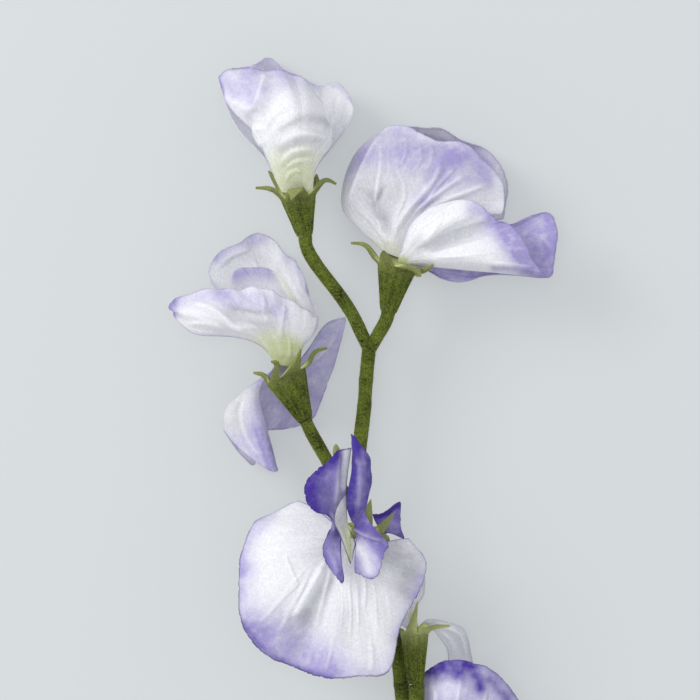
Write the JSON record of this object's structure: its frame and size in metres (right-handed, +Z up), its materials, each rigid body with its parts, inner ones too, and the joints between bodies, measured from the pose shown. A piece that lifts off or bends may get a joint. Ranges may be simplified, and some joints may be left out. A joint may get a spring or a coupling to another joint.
{
  "type": "sweet pea flower",
  "caption": "Cut sweet pea spray with white, lilac and violet blossoms on one branching green stem, laid down, petals spread.",
  "frame": {"origin": "on the surface that the spray lies on, under the middle of its bounding box", "axes": "+Y along the main stem from its cut end to its top, +X to the right seen from above, +Z up"},
  "size_m": [0.0966, 0.2656, 0.0415],
  "materials": {
    "petal_white": "matt woven petal fabric, white with pale lilac shading",
    "petal_lilac": "matt woven petal fabric, pale lilac to grey, creased",
    "petal_purple": "matt woven petal fabric, deep violet edges fading to white",
    "petal_cream": "matt woven petal fabric, white fading to yellow green",
    "calyx_green": "short green flock over moulded plastic",
    "stem_green": "short olive flock over covered wire"
  },
  "bodies": {
    "root": {"main_stem": "stem_green", "pedicel_1": "stem_green", "pedicel_2": "stem_green", "pedicel_3": "stem_green", "pedicel_4": "stem_green", "pedicel_5": "stem_green", "pedicel_6": "stem_green", "calyx_1": "calyx_green", "calyx_2": "calyx_green", "calyx_3": "calyx_green", "calyx_4": "calyx_green", "calyx_5": "calyx_green", "calyx_6": "calyx_green", "standard_1": "petal_lilac", "wing_left_1": "petal_lilac", "wing_right_1": "petal_white", "standard_2": "petal_lilac", "wing_right_2": "petal_white", "wing_left_2": "petal_lilac", "standard_3": "petal_lilac", "wing_right_3": "petal_white", "wing_left_3": "petal_white", "standard_4": "petal_white", "wing_left_4": "petal_purple", "wing_right_4": "petal_purple", "rear_petal_4": "petal_purple", "standard_5": "petal_white", "wing_right_5": "petal_white", "wing_left_5": "petal_lilac", "standard_6": "petal_purple", "wing_right_6": "petal_lilac", "wing_left_6": "petal_lilac", "keel_1": "petal_cream", "keel_2": "petal_cream", "keel_3": "petal_cream", "keel_4": "petal_cream", "keel_5": "petal_cream", "keel_6": "petal_cream"}
  },
  "joints": []
}
